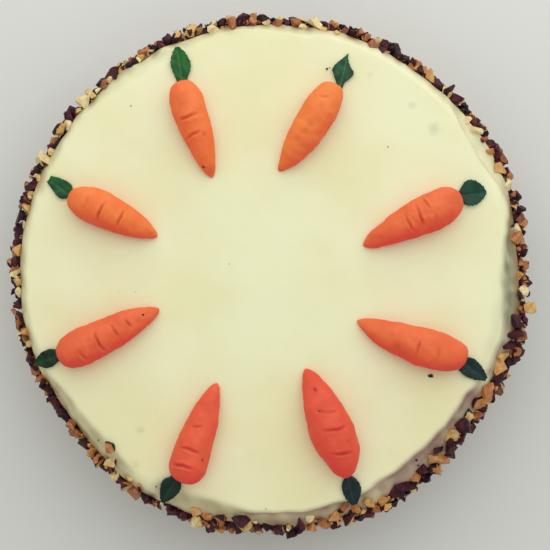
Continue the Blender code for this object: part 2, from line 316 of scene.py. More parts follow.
# Scattered small flecks, such as crumbs of nut skin
def makeFleckGroup():
    tree, given, results = newGroup(
        "smallFlecks",
        [("Scale", "Float", 300.0), ("Size", "Float", 0.2), ("Share", "Float", 0.1)],
        [("Mask", "Float")],
    )
    warp = texture(tree, "Noise", Scale=times(tree, given["Scale"], 1.7))
    shift = 1.5 * mm
    moved = addNode(tree, "ShaderNodeVectorMath", {
        0: warp["Color"], 1: (shift, shift, shift), 2: placeOn(tree),
    }, operation="MULTIPLY_ADD").outputs[0]
    cells = texture(tree, "Voronoi", moved, Scale=given["Scale"])
    spot = calculate(tree, "LESS_THAN", cells["Distance"], given["Size"])
    chosen = calculate(tree, "LESS_THAN", cells["Color"], given["Share"])
    tree.links.new(times(tree, spot, chosen), results["Mask"])
    return tree


# One soft-edged smear at a place on the surface
def makeSmearGroup():
    tree, given, results = newGroup(
        "softSmear",
        [("Where", "Vector", (0.0, 0.0, 0.0)), ("Reach", "Float", 0.005),
         ("Strength", "Float", 0.5)],
        [("Mask", "Float")],
    )
    uneven = texture(tree, "Noise", Scale=260.0, Detail=4.0)[0]
    away = addNode(tree, "ShaderNodeVectorMath", {0: placeOn(tree), 1: given["Where"]},
                   operation="DISTANCE").outputs["Value"]
    share = calculate(tree, "DIVIDE", away, given["Reach"])
    share = calculate(tree, "MULTIPLY_ADD", uneven, 0.9, share)
    mask = remap(tree, share, 0.45, 1.45, 1.0, 0.0)
    tree.links.new(times(tree, mask, given["Strength"]), results["Mask"])
    return tree


pasteGroup, fleckGroup, smearGroup = makePasteGroup(), makeFleckGroup(), makeSmearGroup()


# The iced cake: angles in degrees from +X, distances from the axis
icing = dict(
    around=900, wallRows=10, edgeRows=56, edgeReach=17 * mm, topRings=26, footRound=1.5 * mm,
    edgePower=1.6, cream=(246, 245, 204), deepCream=(242, 238, 190), roughness=0.46,
    wave=0.10 * mm, wavePitch=42 * mm, wallWave=0.5 * mm, wallPitch=16 * mm,
    crestWaver=0.45 * mm, crestPitch=11 * mm, leastLedge=2.5 * mm, strokeFade=3.0,
    lipInset=1.1 * mm, lipWidth=1.0 * mm, shadeTintSoft=3.4 * mm, shadeTintAhead=1.8 * mm,
    # strokes of the palette knife along the rim: first and last angle, distance of the crest in
    # mm at the start, the middle and the end, share of the drop in the step below the crest,
    # share of the width that the step takes, lip in mm, colour and how much of it. The colour
    # is painted shade on the step and the slope below the crest, partly the cake showing through
    strokes=[
        ((47, 16), (125.0, 116.8, 125.0), 0.50, 0.30, 0.0, "warm", 0.20),
        ((4, -31), (112.5, 109.4, 112.0), 0.03, 0.60, 0.0, "cool", 0.08),
        ((16, -14), (122.0, 113.4, 118.0), 0.50, 0.60, 0.0, "cool", 1.0),
        ((-4, -27), (119.4, 117.6, 114.8), 0.55, 0.30, 0.28, "warm", 0.72),
        ((-24, -68), (113.4, 112.0, 115.4), 0.42, 0.32, 0.0, "warm", 0.96),
        ((-60, -101), (114.6, 116.4, 116.6), 0.50, 0.28, 0.05, "warm", 0.78),
        ((-92, -121), (117.0, 113.4, 114.0), 0.20, 0.60, 0.0, "brownShadeAndDust", 0.50),
        ((237, 200), (118.5, 114.6, 122.0), 0.26, 0.60, 0.0, "brownShadeAndDust", 0.36),
        ((144, 114), (123.5, 119.0, 117.0), 0.10, 0.30, 0.0, "cool", 0.14),
        ((115, 92), (115.5, 121.6, 121.0), 0.14, 0.30, 0.0, "cool", 0.12),
        ((95, 80), (121.5, 120.0, 118.5), 0.14, 0.30, 0.0, "cool", 0.12),
        ((163, 142), (120.5, 121.0, 124.0), 0.14, 0.35, 0.0, "cool", 0.14),
    ],
    crestBlur=0.30 * mm, rimShadeWidth=7.0 * mm, sideDust=0.42, valleyShare=0.1,
    # how much painted shadow of the nuts darkens the rim, with the cake partly showing through:
    # angle, share
    rimShadeShare=[(0, 0.85), (18, 0.95), (26, 0.4), (36, 0.05), (46, 0.5), (60, 0.85), (100, 0.6),
              (140, 0.55), (180, 0.65), (210, 0.8), (230, 0.85), (255, 0.95), (280, 0.5),
              (320, 0.5), (345, 0.95)],
    # tints of painted shade along the rim: warm partly the cake showing through, cool only shade,
    # and the brown one partly dust from the nuts
    rimShadeTints=dict(warm=(178, 148, 130), cool=(152, 150, 122), brownShadeAndDust=(150, 112, 66)),
    # smears of nut skin: angle, distance and reach in mm, strength and colour
    smears=[
        (42.2, 107.9, 4.6, 0.30, "grey"), (50.7, 109.0, 3.4, 0.20, "grey"),
        (64.0, 110.4, 2.6, 0.16, "grey"), (229.4, 100.1, 3.2, 0.22, "grey"),
        (234.1, 115.2, 3.6, 0.20, "brown"), (-18.0, 117.0, 4.0, 0.15, "grey"),
    ],
    smearColours=dict(grey=(150, 160, 140), brown=(170, 140, 95)),
    sponge=[(150, 92, 48), (104, 58, 30), (62, 34, 20)],
)

slices = uprightSlices("iced_cake")
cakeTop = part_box("iced_cake")[1].z
rimOf = smoothLoop([part[:, 0].max() for part in slices])
dropOf = smoothLoop([
    cakeTop - part[part[:, 0] > part[:, 0].max() - 0.02 * mm, 1].max() for part in slices
])
widthOf = smoothLoop([
    part[:, 0].max() - part[part[:, 1] > cakeTop - 0.01 * mm, 0].max() for part in slices
])
coatSlices = uprightSlices("nut_coat")
coatEdgeOf = smoothLoop([part[:, 0].min() for part in coatSlices])
coatReach = np.array([part[:, 0].max() for part in coatSlices])
coatReachOf = smoothLoop(smear(np.tile(coatReach, 3), 2)[len(coatReach):-len(coatReach)])


def plan(angle, radius, height):
    a = np.radians(angle)
    return np.stack([radius * np.cos(a), radius * np.sin(a), height + 0 * a], -1)


def turned(angle, middle):
    return (angle - middle + 180) % 360 - 180


def easeIn(share):
    share = np.clip(share, 0, 1)
    return share * share * (3 - 2 * share)


def roundedHeight(angle, radius):
    power = icing["edgePower"]
    c = np.clip(1 - (rimOf(angle) - radius) / widthOf(angle), 0, 1)
    return cakeTop - dropOf(angle) * (1 - (1 - c**power) ** (1 / power))


# Where a knife stroke is felt, from 0 to 1, and how far out beyond its crest a place is
def strokeReach(stroke, angle, radius):
    (first, last), (start, middle, end) = stroke[:2]
    t = turned(angle, (first + last) / 2) / ((last - first) / 2)
    crest = middle + (end - start) / 2 * t + ((start + end) / 2 - middle) * t * t
    spot = plan(angle, 120 * mm, 0.0)
    crest = crest * mm + icing["crestWaver"] * waves(spot, icing["crestPitch"], 21)
    crest = np.minimum(crest, rimOf(angle) - icing["leastLedge"])
    felt = easeIn((1 - np.abs(t)) * icing["strokeFade"]) * (np.abs(t) < 1)
    return felt, radius - crest, rimOf(angle) - crest


# Height of the icing where it can be seen from above
def icingHeight(angle, radius):
    height = roundedHeight(angle, radius)
    for stroke in icing["strokes"]:
        felt, beyond, reach = strokeReach(stroke, angle, radius)
        step, sharp, lip = stroke[2:5]
        share = np.clip(beyond / reach, 0, 1)
        fall = step * easeIn(share / sharp) + (1 - step) * share**1.3
        gap = cakeTop - dropOf(angle) * fall - height + 0.25 * np.maximum(-beyond, 0)
        blur = icing["crestBlur"]
        cut = -blur * np.log1p(np.exp(np.clip(-gap / blur, -30, 30)))  # the lower one, blended
        ridge = lip * mm * np.exp(-((beyond + icing["lipInset"]) / icing["lipWidth"]) ** 2)
        height = height + felt * (cut + ridge)
    return height


def makeIcing():
    around = icing["around"]
    angle = np.arange(around) * 360 / around
    rim, drop = rimOf(angle), dropOf(angle)
    radii, heights = [], []

    def addRow(radius, height):
        radii.append(radius + 0 * angle)
        heights.append(height + 0 * angle)

    for share in (0.35, 0.7, 0.93):  # the underside
        addRow(share * rim, 0.0)
    foot = icing["footRound"]
    for step in (0, 30, 60, 90):  # the rounded foot
        s, c = math.sin(math.radians(step)), math.cos(math.radians(step))
        addRow(rim - foot * (1 - s), foot * (1 - c))
    for k in range(1, icing["wallRows"]):  # the upright side
        share = k / icing["wallRows"]
        addRow(rim, foot + share * (cakeTop - drop - foot))
    for k in range(icing["edgeRows"] + 1):  # the rounded edge, fine enough for the strokes
        inward = icing["edgeReach"] * (1 - math.cos(0.5 * math.pi * k / icing["edgeRows"]))
        addRow(rim - inward, icingHeight(angle, rim - inward))
    for k in range(1, icing["topRings"]):  # the flat top
        radius = (rim - icing["edgeReach"]) * (1 - k / icing["topRings"])
        addRow(radius, icingHeight(angle, radius))
    radii, heights = np.array(radii), np.array(heights)

    points = plan(angle[None, :], radii, heights)
    onTop = np.clip((heights - (cakeTop - drop)) / drop, 0, 1) * (heights > 0.5 * foot)
    points[..., 2] += onTop * icing["wave"] * (
        waves(points, icing["wavePitch"], 3) + 0.35 * waves(points, 0.25 * icing["wavePitch"], 4))
    sideShare = (1 - onTop) * np.clip(heights / (4 * mm), 0, 1)
    push = sideShare * icing["wallWave"] * (waves(points, icing["wallPitch"], 5) - 0.6)
    points += push[..., None] * plan(angle, 1.0, 0.0)[None]

    rows = len(points)
    flat = points.reshape(-1, 3)
    poles = np.array([(0, 0, 0), (0, 0, cakeTop)], float)
    faces = closedLoft(rows, around)
    piece = makePiece("icing", np.concatenate([flat, poles]), faces,
                      [makeIcingMaterial(), makeSpongeMaterial()], ["iced_cake"])
    under = np.zeros(len(faces), np.int32)
    under[: 4 * around] = 1
    under[(rows - 1) * around: rows * around] = 1
    piece.data.polygons.foreach_set("material_index", under)
    # how much painted shade each tint lays on the strokes' steps and slopes, for the material
    patchy = 0.9 + 0.2 * waves(points, 8 * mm, 33)
    for tint in icing["rimShadeTints"]:
        amount = np.zeros(radii.shape)
        for stroke in icing["strokes"]:
            if stroke[5] == tint:
                felt, beyond, reach = strokeReach(stroke, angle[None, :], radii)
                soft = np.maximum(icing["shadeTintSoft"], 0.8 * stroke[3] * reach)
                # the painted shade is strongest in the hollow at the foot of the step
                valley = np.exp(-((beyond / (stroke[3] * reach) - 1.0) / 0.55) ** 2)
                cover = easeIn((beyond + icing["shadeTintAhead"]) / soft)
                here = patchy * felt * stroke[6] * cover * (
                    1 - icing["valleyShare"] + 2 * icing["valleyShare"] * valley)
                amount = np.maximum(amount, here)
        if tint == "brownShadeAndDust":  # painted shadow of the nuts along the rim, the cake partly showing through there, and dust from the nuts on the side below it
            uneven = 0.8 + 0.35 * waves(points, 9 * mm, 31)
            wide, marks = icing["rimShadeWidth"], np.array(icing["rimShadeShare"])
            most = uneven * np.interp(angle, marks[:, 0], marks[:, 1], period=360)
            amount = np.maximum(amount, most * easeIn((radii - rim + wide) / wide) ** 1.4)
            onSide = easeIn((cakeTop - drop - heights) / (3 * mm))
            amount = amount + onSide * (icing["sideDust"] * uneven - amount)
        giveValue(piece, tint, np.concatenate([(amount * (heights > foot)).ravel(), (0, 0)]))
    print("icing", len(faces), "faces")


def makeIcingMaterial():
    material, tree, shader = newMaterial("creamIcing", icing["roughness"], 0.35)
    paste = useGroup(tree, pasteGroup, {"Broad": 22.0, "Fine": 900.0, "Pits": 0.5})
    colour = blendColours(tree, paste["Mottle"], shade(*icing["cream"]),
                          shade(*icing["deepCream"]))
    for angle, radius, reach, strength, tint in icing["smears"]:
        where = plan(np.float64(angle), radius * mm, cakeTop)
        smudge = useGroup(tree, smearGroup, {"Where": tuple(where), "Reach": reach * mm,
                                             "Strength": strength})
        colour = blendColours(tree, smudge["Mask"], colour, shade(*icing["smearColours"][tint]))
    # painted shade on the rim: the strokes' steps and slopes and the nuts' shadow, partly the cake
    # showing through and nut dust
    for tint, tintColour in icing["rimShadeTints"].items():
        colour = blendColours(tree, readValue(tree, tint), colour, shade(*tintColour))
    roughen(tree, shader, paste["Mottle"], icing["roughness"], 0.10)
    paint(tree, shader, colour, paste["Height"], 0.25 * mm, 0.5)
    softenInside(shader, 0.2, 3 * mm, (1.0, 0.8, 0.5))
    return material


def makeSpongeMaterial():
    material, tree, shader = newMaterial("bakedUnderside", 0.85, 0.2)
    pores = texture(tree, "Voronoi", Scale=330.0)["Distance"]
    crumb = texture(tree, "Noise", Scale=120.0, Detail=6.0)[0]
    crust, brown, deep = [shade(*colour) for colour in icing["sponge"]]
    colour = blendColours(tree, remap(tree, crumb, 0.35, 0.65), crust, brown)
    # painted shade: darker in the pits of the pores
    colour = blendColours(tree, remap(tree, pores, 0.05, 0.3, 0.7, 0.0), colour, deep)
    paint(tree, shader, colour, pores, 0.8 * mm, 0.8)
    return material


makeIcing()
print("icing made")


# Chopped nuts. Sizes are across the whole piece. One keeps no skin, skin on its rounded side, or
# skin all over: peel 0, 1 or 2, or the shares of the first two. proud is how far the middle stands
# out, as a share of the size, and clear is the least distance to the listed pieces.
nuts = dict(
    seed=23, shapes=dict(large=36, small=44, crumb=14),
    large=dict(count=860, size=(4.6 * mm, 8.0 * mm), proud=0.20, peel=(0.14, 0.36), clear=2.4 * mm),
    top=dict(count=330, size=(4.6 * mm, 8.6 * mm), proud=0.34, peel=(0.08, 0.34), clear=2.7 * mm),
    ring=dict(count=460, size=(3.6 * mm, 7.8 * mm), peel=(0.08, 0.34), clear=2.5 * mm,
              hang=7 * mm, lean=4.6 * mm),
    small=dict(count=2450, size=(3.0 * mm, 5.6 * mm), proud=0.20, peel=(0.16, 0.30),
               clear=1.4 * mm),
    crumbs=dict(count=3200, size=(1.4 * mm, 3.4 * mm), proud=0.26, peel=(0.24, 0.26), clear=0.0),
    topBand=11 * mm, chosenGrowth=1.30, cutShare=0.72, strayRound=1.1, strayUp=1.3 * mm,
    sizeRange=(0.88, 1.3),
    tones=[(0.0, (246, 236, 190)), (0.3, (234, 196, 120)), (0.6, (208, 138, 78)),
           (1.0, (134, 72, 54))],
    toneSpread=0.75, darken=(0.66, 0.52, 0.42, 1.0), fleshRoughness=0.5,
    skinColours=[(36, 12, 26), (86, 28, 40)], skinRoughness=0.5,
    # the pieces that catch the eye along the top edge: angle, distance of the middle and size
    # in mm, tone from cream at 0 to brown at 1, and peel
    chosen=[
        (103.6, 126.4, 5.4, 0.10, 0), (105.3, 126.2, 3.6, 0.70, 2), (99.0, 126.4, 6.6, 0.80, 0),
        (97.2, 127.0, 4.6, 0.75, 2), (94.2, 127.2, 4.8, 0.70, 0), (91.3, 126.3, 3.4, 0.10, 0),
        (88.9, 126.0, 4.8, 0.85, 0), (86.6, 126.4, 4.2, 0.80, 2), (84.6, 127.2, 4.6, 0.80, 0),
        (82.9, 125.0, 3.4, 0.05, 0), (80.2, 126.8, 7.4, 0.12, 0), (78.4, 125.4, 3.6, 0.30, 0),
        (75.1, 124.8, 3.4, 0.35, 0), (66.5, 124.9, 3.8, 0.85, 0), (64.0, 124.6, 3.0, 0.95, 2),
        (38.4, 125.2, 3.4, 0.10, 0), (35.5, 125.2, 5.2, 0.02, 0), (32.8, 126.2, 3.8, 0.80, 1),
        (29.8, 125.6, 3.8, 0.60, 0), (25.2, 126.3, 5.8, 0.42, 0), (21.2, 126.6, 4.8, 0.06, 0),
        (11.1, 124.2, 4.8, 0.12, 1), (8.8, 124.4, 6.0, 0.68, 0), (2.6, 126.4, 5.0, 0.70, 1),
        (-1.6, 127.6, 4.0, 0.45, 1), (-4.6, 124.6, 4.2, 0.65, 2), (-6.9, 130.0, 5.8, 0.34, 1),
        (-7.6, 126.6, 4.6, 0.85, 0), (-10.4, 123.6, 6.0, 0.90, 2), (-13.4, 124.8, 6.4, 0.90, 2),
        (-16.4, 123.4, 5.6, 0.90, 2), (-19.0, 122.6, 5.4, 0.36, 0), (-21.7, 122.8, 6.6, 0.50, 1),
        (-20.4, 126.0, 6.0, 0.90, 2), (-24.6, 123.6, 6.4, 0.90, 2), (-27.7, 121.2, 7.6, 0.72, 1),
        (-30.2, 121.8, 7.2, 0.52, 0), (-31.8, 121.2, 6.0, 0.62, 1), (-34.5, 123.6, 6.4, 0.85, 1),
        (-35.1, 120.3, 5.0, 0.22, 1), (-38.4, 121.4, 8.0, 0.90, 2), (-40.8, 124.0, 7.4, 0.90, 2),
        (-41.4, 119.8, 5.4, 0.30, 0), (-43.6, 123.0, 7.4, 0.90, 2), (-46.4, 119.4, 5.6, 0.90, 2),
        (-47.2, 125.0, 7.0, 0.52, 0), (-48.7, 121.2, 5.4, 0.46, 0), (-52.3, 123.4, 5.4, 0.85, 2),
        (-54.7, 125.0, 5.4, 0.70, 1), (-57.6, 124.6, 7.2, 0.90, 2), (-60.2, 125.2, 7.6, 0.90, 2),
        (-63.6, 125.2, 5.0, 0.50, 0), (-66.6, 123.4, 6.4, 0.40, 0), (-69.9, 123.0, 5.2, 0.62, 1),
        (-73.1, 120.4, 5.8, 0.80, 1), (-75.4, 124.0, 5.4, 0.50, 0), (-77.9, 126.8, 5.2, 0.66, 1),
        (-79.2, 123.8, 4.8, 0.85, 1), (-81.0, 122.4, 4.0, 0.06, 0), (-81.0, 127.4, 5.0, 0.56, 0),
        (-83.8, 125.0, 5.0, 0.90, 2), (-88.0, 126.8, 5.0, 0.40, 1), (-91.2, 125.4, 5.4, 0.90, 2),
        (-94.2, 123.0, 2.8, 0.10, 0), (-96.0, 126.2, 6.0, 0.26, 0), (-97.3, 121.6, 7.4, 0.90, 2),
        (-102.0, 123.6, 5.0, 0.85, 1), (-105.2, 124.8, 4.6, 0.62, 0), (-107.9, 123.6, 4.4, 0.42, 0),
        (-114.0, 126.2, 4.4, 0.80, 2), (-122.1, 124.0, 4.2, 0.55, 1), (-125.0, 122.6, 3.0, 0.25, 0),
        (-130.8, 122.8, 4.8, 0.18, 1), (-164.4, 125.4, 4.2, 0.30, 0), (-167.1, 125.6, 4.2, 0.55, 1),
        (-176.4, 126.8, 4.2, 0.05, 0), (-178.6, 127.0, 4.2, 0.35, 0), (174.4, 126.4, 5.0, 0.42, 1),
        (171.9, 126.8, 3.8, 0.70, 2), (168.2, 126.0, 3.0, 0.12, 0), (164.7, 126.6, 5.8, 0.34, 0),
        (161.9, 126.0, 3.8, 0.10, 0), (157.5, 125.6, 2.8, 0.30, 0), (153.1, 128.0, 7.6, 0.14, 1),
        (150.7, 125.6, 3.4, 0.12, 0), (148.2, 125.6, 3.4, 0.95, 2), (145.5, 128.0, 6.0, 0.40, 1),
        (143.6, 126.4, 5.2, 0.04, 0), (139.6, 126.2, 4.6, 0.20, 0), (137.5, 127.6, 7.0, 0.10, 1),
        (137.2, 128.6, 3.2, 0.95, 2), (134.8, 128.0, 5.0, 0.28, 0), (133.0, 126.4, 3.0, 0.05, 0),
        (131.2, 126.8, 4.2, 0.85, 0), (129.5, 126.6, 3.2, 0.12, 0), (122.6, 127.0, 3.6, 0.90, 2),
        (121.6, 126.9, 2.6, 0.05, 0),
    ],
    # loose ones on the icing: angle and distance, size, tone and peel as above
    loose=[
        (226.6, 116.2, 6.6, 0.72, 1), (-32.3, 92.3, 2.5, 1.0, 2), (75.1, 105.7, 1.5, 0.9, 2),
        (74.5, 106.6, 0.8, 0.9, 2), (129.7, 109.0, 0.7, 1.0, 2), (164.4, 22.0, 0.6, 1.0, 2),
        (48.1, 85.6, 0.7, 1.0, 2), (268.5, 115.0, 0.7, 1.0, 2), (186.0, 75.9, 0.4, 1.0, 2),
        (186.7, 67.6, 0.5, 1.0, 2), (-51.9, 116.4, 1.6, 0.9, 2), (-52.4, 119.4, 1.5, 0.7, 2),
        (223.4, 118.6, 0.9, 0.8, 2), (241.2, 119.0, 0.9, 0.8, 2),
    ],
)


# One chopped bit, about 2 across: part of a rounded kernel with flat broken faces, or a shard
def nutShape(chance, detail, cuts):
    bm = bmesh.new()
    skin = bm.faces.layers.int.new("skin")
    if chance.random() < nuts["cutShare"]:
        cutKernel(bm, skin, chance, detail, cuts)
    else:
        splinter(bm, skin, chance, detail)
    bmesh.ops.triangulate(bm, faces=bm.faces[:])
    bmesh.ops.recalc_face_normals(bm, faces=bm.faces[:])
    bm.verts.index_update()
    points = np.array([vertex.co[:] for vertex in bm.verts])
    faces = np.array([[vertex.index for vertex in face.verts] for face in bm.faces])
    skins = np.array([face[skin] for face in bm.faces])
    bm.free()
    low, high = points.min(0), points.max(0)
    return (points - (low + high) / 2) * 2 / (high - low).max(), faces, skins


def cutKernel(bm, skin, chance, detail, cuts):
    bmesh.ops.create_icosphere(bm, subdivisions=detail, radius=1.0)
    for face in bm.faces:
        face[skin] = 1
    stretch = Vector((1.0, chance.uniform(0.6, 1.0), chance.uniform(0.42, 0.8)))
    ridge = Vector(chance.normal(size=3)).normalized()
    for vertex in bm.verts:
        wrinkle = 0.07 * math.sin(8 * vertex.co.dot(ridge)) + 0.05 * chance.normal()
        vertex.co = vertex.co * stretch * (1 + wrinkle)
    for _ in range(cuts):
        way = Vector(chance.normal(size=3)).normalized()
        reach = max(vertex.co.dot(way) for vertex in bm.verts)
        cut = bmesh.ops.bisect_plane(
            bm, geom=bm.verts[:] + bm.edges[:] + bm.faces[:], clear_outer=True,
            plane_co=way * reach * chance.uniform(0.2, 0.72), plane_no=way)
        rim = [part for part in cut["geom_cut"] if isinstance(part, bmesh.types.BMEdge)]
        if rim:
            bmesh.ops.edgeloop_fill(bm, edges=rim)


def splinter(bm, skin, chance, detail):
    stretch = np.array((1.0, chance.uniform(0.6, 0.95), chance.uniform(0.36, 0.72)))
    for _ in range(chance.integers(9, 16)):
        way = chance.normal(size=3)
        bm.verts.new(Vector(way / np.linalg.norm(way) * stretch * chance.uniform(0.8, 1.0)))
    bmesh.ops.convex_hull(bm, input=bm.verts[:])
    spare = [vertex for vertex in bm.verts if not vertex.link_faces]
    bmesh.ops.delete(bm, geom=spare, context="VERTS")
    peeled = Vector(chance.normal(size=3)).normalized()
    for face in bm.faces:
        face.normal_update()
        face[skin] = int(face.normal.dot(peeled) > 0.1)
    if detail > 1:
        bmesh.ops.subdivide_edges(bm, edges=bm.edges[:], cuts=detail - 1, use_grid_fill=True)
        for vertex in bm.verts:
            vertex.co *= 1 + 0.035 * chance.normal()


# A turn at random, or one that lays the flat side, local Z, roughly along a direction
def nutTurn(chance, facing):
    if facing is None:
        return Matrix.Rotation(chance.uniform(0, 6.283), 3, Vector(chance.normal(size=3)))
    way = Vector(facing).normalized() + 0.3 * Vector(chance.normal(size=3))
    return way.to_track_quat("Z", "Y").to_matrix() @ Matrix.Rotation(
        chance.uniform(0, 6.283), 3, "Z")


# Many bits joined in one piece. A spot is its middle, size, tone, peel and facing.
def makeNutPiece(name, shapes, spots, chance, materials, replaced=()):
    points, faces, skins, tones, first = [], [], [], [], 0
    for centre, size, tone, peel, facing in spots:
        corners, triangles, skin = shapes[chance.integers(len(shapes))]
        spin = nutTurn(chance, facing)
        points.append(corners @ np.array(spin).T * (size / 2) + centre)
        faces.append(triangles + first)
        skins.append([skin * 0, skin, skin * 0 + 1][peel])
        tones.append(np.full(len(triangles), tone))
        first += len(corners)
    points = np.concatenate(points)
    points[:, 2] = np.maximum(points[:, 2], 0.05 * mm)
    piece = makePiece(name, points, np.concatenate(faces).tolist(), materials,
                      replaced, crispAngle=30)
    piece.data.polygons.foreach_set("material_index", np.concatenate(skins).astype(np.int32))
    giveValue(piece, "tone", np.concatenate(tones), "FACE")
    print(name, len(piece.data.polygons), "faces")


def makeNutMaterials():
    flesh, tree, shader = newMaterial("nutFlesh", nuts["fleshRoughness"], 0.4)
    patches = texture(tree, "Noise", Scale=420.0, Detail=3.0, Roughness=0.6, Distortion=0.8)[0]
    shift = calculate(tree, "MULTIPLY_ADD", patches, nuts["toneSpread"], -0.5 * nuts["toneSpread"])
    ramp = addNode(tree, "ShaderNodeValToRGB", {
        "Fac": calculate(tree, "ADD", readValue(tree, "tone"), shift, clamp=True)})
    marks = ramp.color_ramp.elements
    while len(marks) < len(nuts["tones"]):
        marks.new(0.5)
    for mark, (at, colour) in zip(marks, nuts["tones"]):
        mark.position = at
        mark.color = shade(*colour)
    paste = useGroup(tree, pasteGroup, {"Broad": 330.0, "Fine": 1800.0, "Pits": 0.4})
    darker = blendColours(tree, 1.0, ramp.outputs[0], nuts["darken"], "MULTIPLY")
    colour = blendColours(tree, times(tree, paste["Mottle"], 0.6), ramp.outputs[0], darker)
    flecks = useGroup(tree, fleckGroup, {"Scale": 1500.0, "Size": 0.3, "Share": 0.3})
    colour = blendColours(tree, times(tree, flecks["Mask"], 0.35), colour,
                          shade(*nuts["skinColours"][1]))
    paint(tree, shader, colour, paste["Height"], 0.35 * mm, 0.7)
    softenInside(shader, 0.08, 1 * mm, (1.0, 0.6, 0.3))

    peel, tree, shader = newMaterial("nutSkin", nuts["skinRoughness"], 0.25)
    streaks = texture(tree, "Noise", Scale=700.0, Detail=5.0, Roughness=0.65, Distortion=1.2)[0]
    broad = texture(tree, "Noise", Scale=190.0, Detail=2.0)[0]
    both = calculate(tree, "MULTIPLY_ADD", broad, 0.6, times(tree, streaks, 0.4))
    colour = blendColours(tree, remap(tree, both, 0.42, 0.6), shade(*nuts["skinColours"][0]),
                          shade(*nuts["skinColours"][1]))
    flecks = useGroup(tree, fleckGroup, {"Scale": 1100.0, "Size": 0.30, "Share": 0.10})
    colour = blendColours(tree, times(tree, flecks["Mask"], 0.4), colour,
                          shade(*nuts["tones"][2][1]))
    paint(tree, shader, colour, streaks, 0.4 * mm, 0.8)
    return [flesh, peel]


# Place and outward direction on the side and up the rounded edge, by length up the surface
def coatPlace(angle, up):
    rim, width, drop = float(rimOf(angle)), float(widthOf(angle)), float(dropOf(angle))
    wallTop = cakeTop - drop
    if up <= wallTop:
        return plan(angle, rim, up), plan(angle, 1.0, 0.0)
    climb = min((up - wallTop) / edgeLength(width, drop), 1.0) * math.pi / 2
    radius = rim - width * (1 - math.cos(climb))
    lean = math.atan2(math.sin(climb) / drop, math.cos(climb) / width)
    place = plan(angle, radius, float(icingHeight(np.float64(angle), radius)))
    return place, plan(angle, math.cos(lean), math.sin(lean))


def edgeLength(width, drop):
    return math.pi / 2 * math.sqrt((width**2 + drop**2) / 2)


def coatTop(angle):
    rim, width, drop = float(rimOf(angle)), float(widthOf(angle)), float(dropOf(angle))
    c = min(max(1 - (rim - float(coatEdgeOf(angle))) / width, 0.0), 1.0)
    return cakeTop - drop + edgeLength(width, drop) * math.acos(c) / (math.pi / 2)


def pickFinish(look, chance):
    tone = float(chance.beta(1.6, 1.3))
    bare, part = look["peel"]
    draw = chance.random()
    return tone, 0 if draw < bare else 1 if draw < bare + part else 2


# Measures how far a place is from the nearest piece that is already there
def spaceBeside(kept):
    taken = np.array([spot[0] for spot in kept])
    room = np.array([0.3 * spot[1] for spot in kept])
    return lambda centre: (np.linalg.norm(taken - centre, axis=1) - room).min()


def chosenSpots():
    spots = []
    for angle, radius, size, tone, peel in nuts["chosen"]:
        radius = max(radius * mm, float(coatEdgeOf(angle)) - 2.5 * mm)
        if radius < rimOf(angle):
            height = float(icingHeight(np.float64(angle), radius)) + 0.22 * size * mm
        else:
            lift = -0.3 if peel == 2 else 0.1
            height = cakeTop - float(dropOf(angle)) + lift * size * mm
        facing = plan(angle, 0.6, 1.0)
        size *= nuts["chosenGrowth"] * mm
        spots.append((plan(angle, radius, height), size, tone, peel, facing))
    return spots


def nutSpots(look, chance, seed, kept):
    spots, space = [], spaceBeside(kept)
    meanReach = float(np.mean(coatReach)) - float(np.mean([rimOf(a) for a in range(0, 360, 5)]))
    low, high = look["size"]
    least, most = nuts["sizeRange"]
    # evenly spread steps round and up the side, each with some stray
    roundStep, upStep = 0.7548776662466927, 0.5698402909980532
    for k in range(look["count"]):
        angle = 360 * ((k * roundStep + seed) % 1.0)
        top = coatTop(angle) + chance.normal() * mm
        up = (k * upStep + 0.5 * seed) % 1.0
        up = top - up * nuts["topBand"] if look is nuts["top"] else up * cakeTop
        up += chance.normal() * nuts["strayUp"]
        if not 0.4 * mm < up < top:
            continue
        scale = (float(coatReachOf(angle)) - float(rimOf(angle))) / meanReach
        size = (low + (high - low) * chance.random() ** 1.4) * min(max(scale, least), most)
        place, out = coatPlace(angle + chance.normal() * nuts["strayRound"], up)
        centre = place + out * (look["proud"] * size + 0.4 * mm * chance.random())
        if not look["clear"] or space(centre) >= look["clear"]:
            spots.append((centre, size, *pickFinish(look, chance), None))
    return spots


# Chips heaped against the top of the side, spread as they show from above
def ringSpots(look, chance, kept):
    spots, space = [], spaceBeside(kept)
    low, high = look["size"]
    goldenStep = 0.6180339887498949
    for k in range(look["count"]):
        angle = 360 * ((k * goldenStep + 0.13) % 1.0)
        size = low + (high - low) * chance.random() ** 1.2
        rim, inner = float(rimOf(angle)), float(coatEdgeOf(angle)) + 0.3 * size
        outer = min(float(coatReachOf(angle)) - 0.35 * size, rim + look["lean"])
        radius = inner + max(outer - inner, 0) * chance.random()
        if radius < rim - 0.5 * mm:
            height = float(icingHeight(np.float64(angle), radius)) + 0.2 * size
        else:
            height = cakeTop - float(dropOf(angle)) - look["hang"] * chance.random() ** 1.5
        centre = plan(angle, radius, height)
        if space(centre) >= look["clear"]:
            spots.append((centre, size, *pickFinish(look, chance), plan(angle, 0.8, 1.0)))
    return spots


def looseSpots():
    spots = []
    for angle, radius, size, tone, peel in nuts["loose"]:
        height = float(icingHeight(np.float64(angle), radius * mm)) + 0.22 * size * mm
        spots.append((plan(angle, radius * mm, height), size * mm, tone, peel, (0, 0, 1)))
    return spots


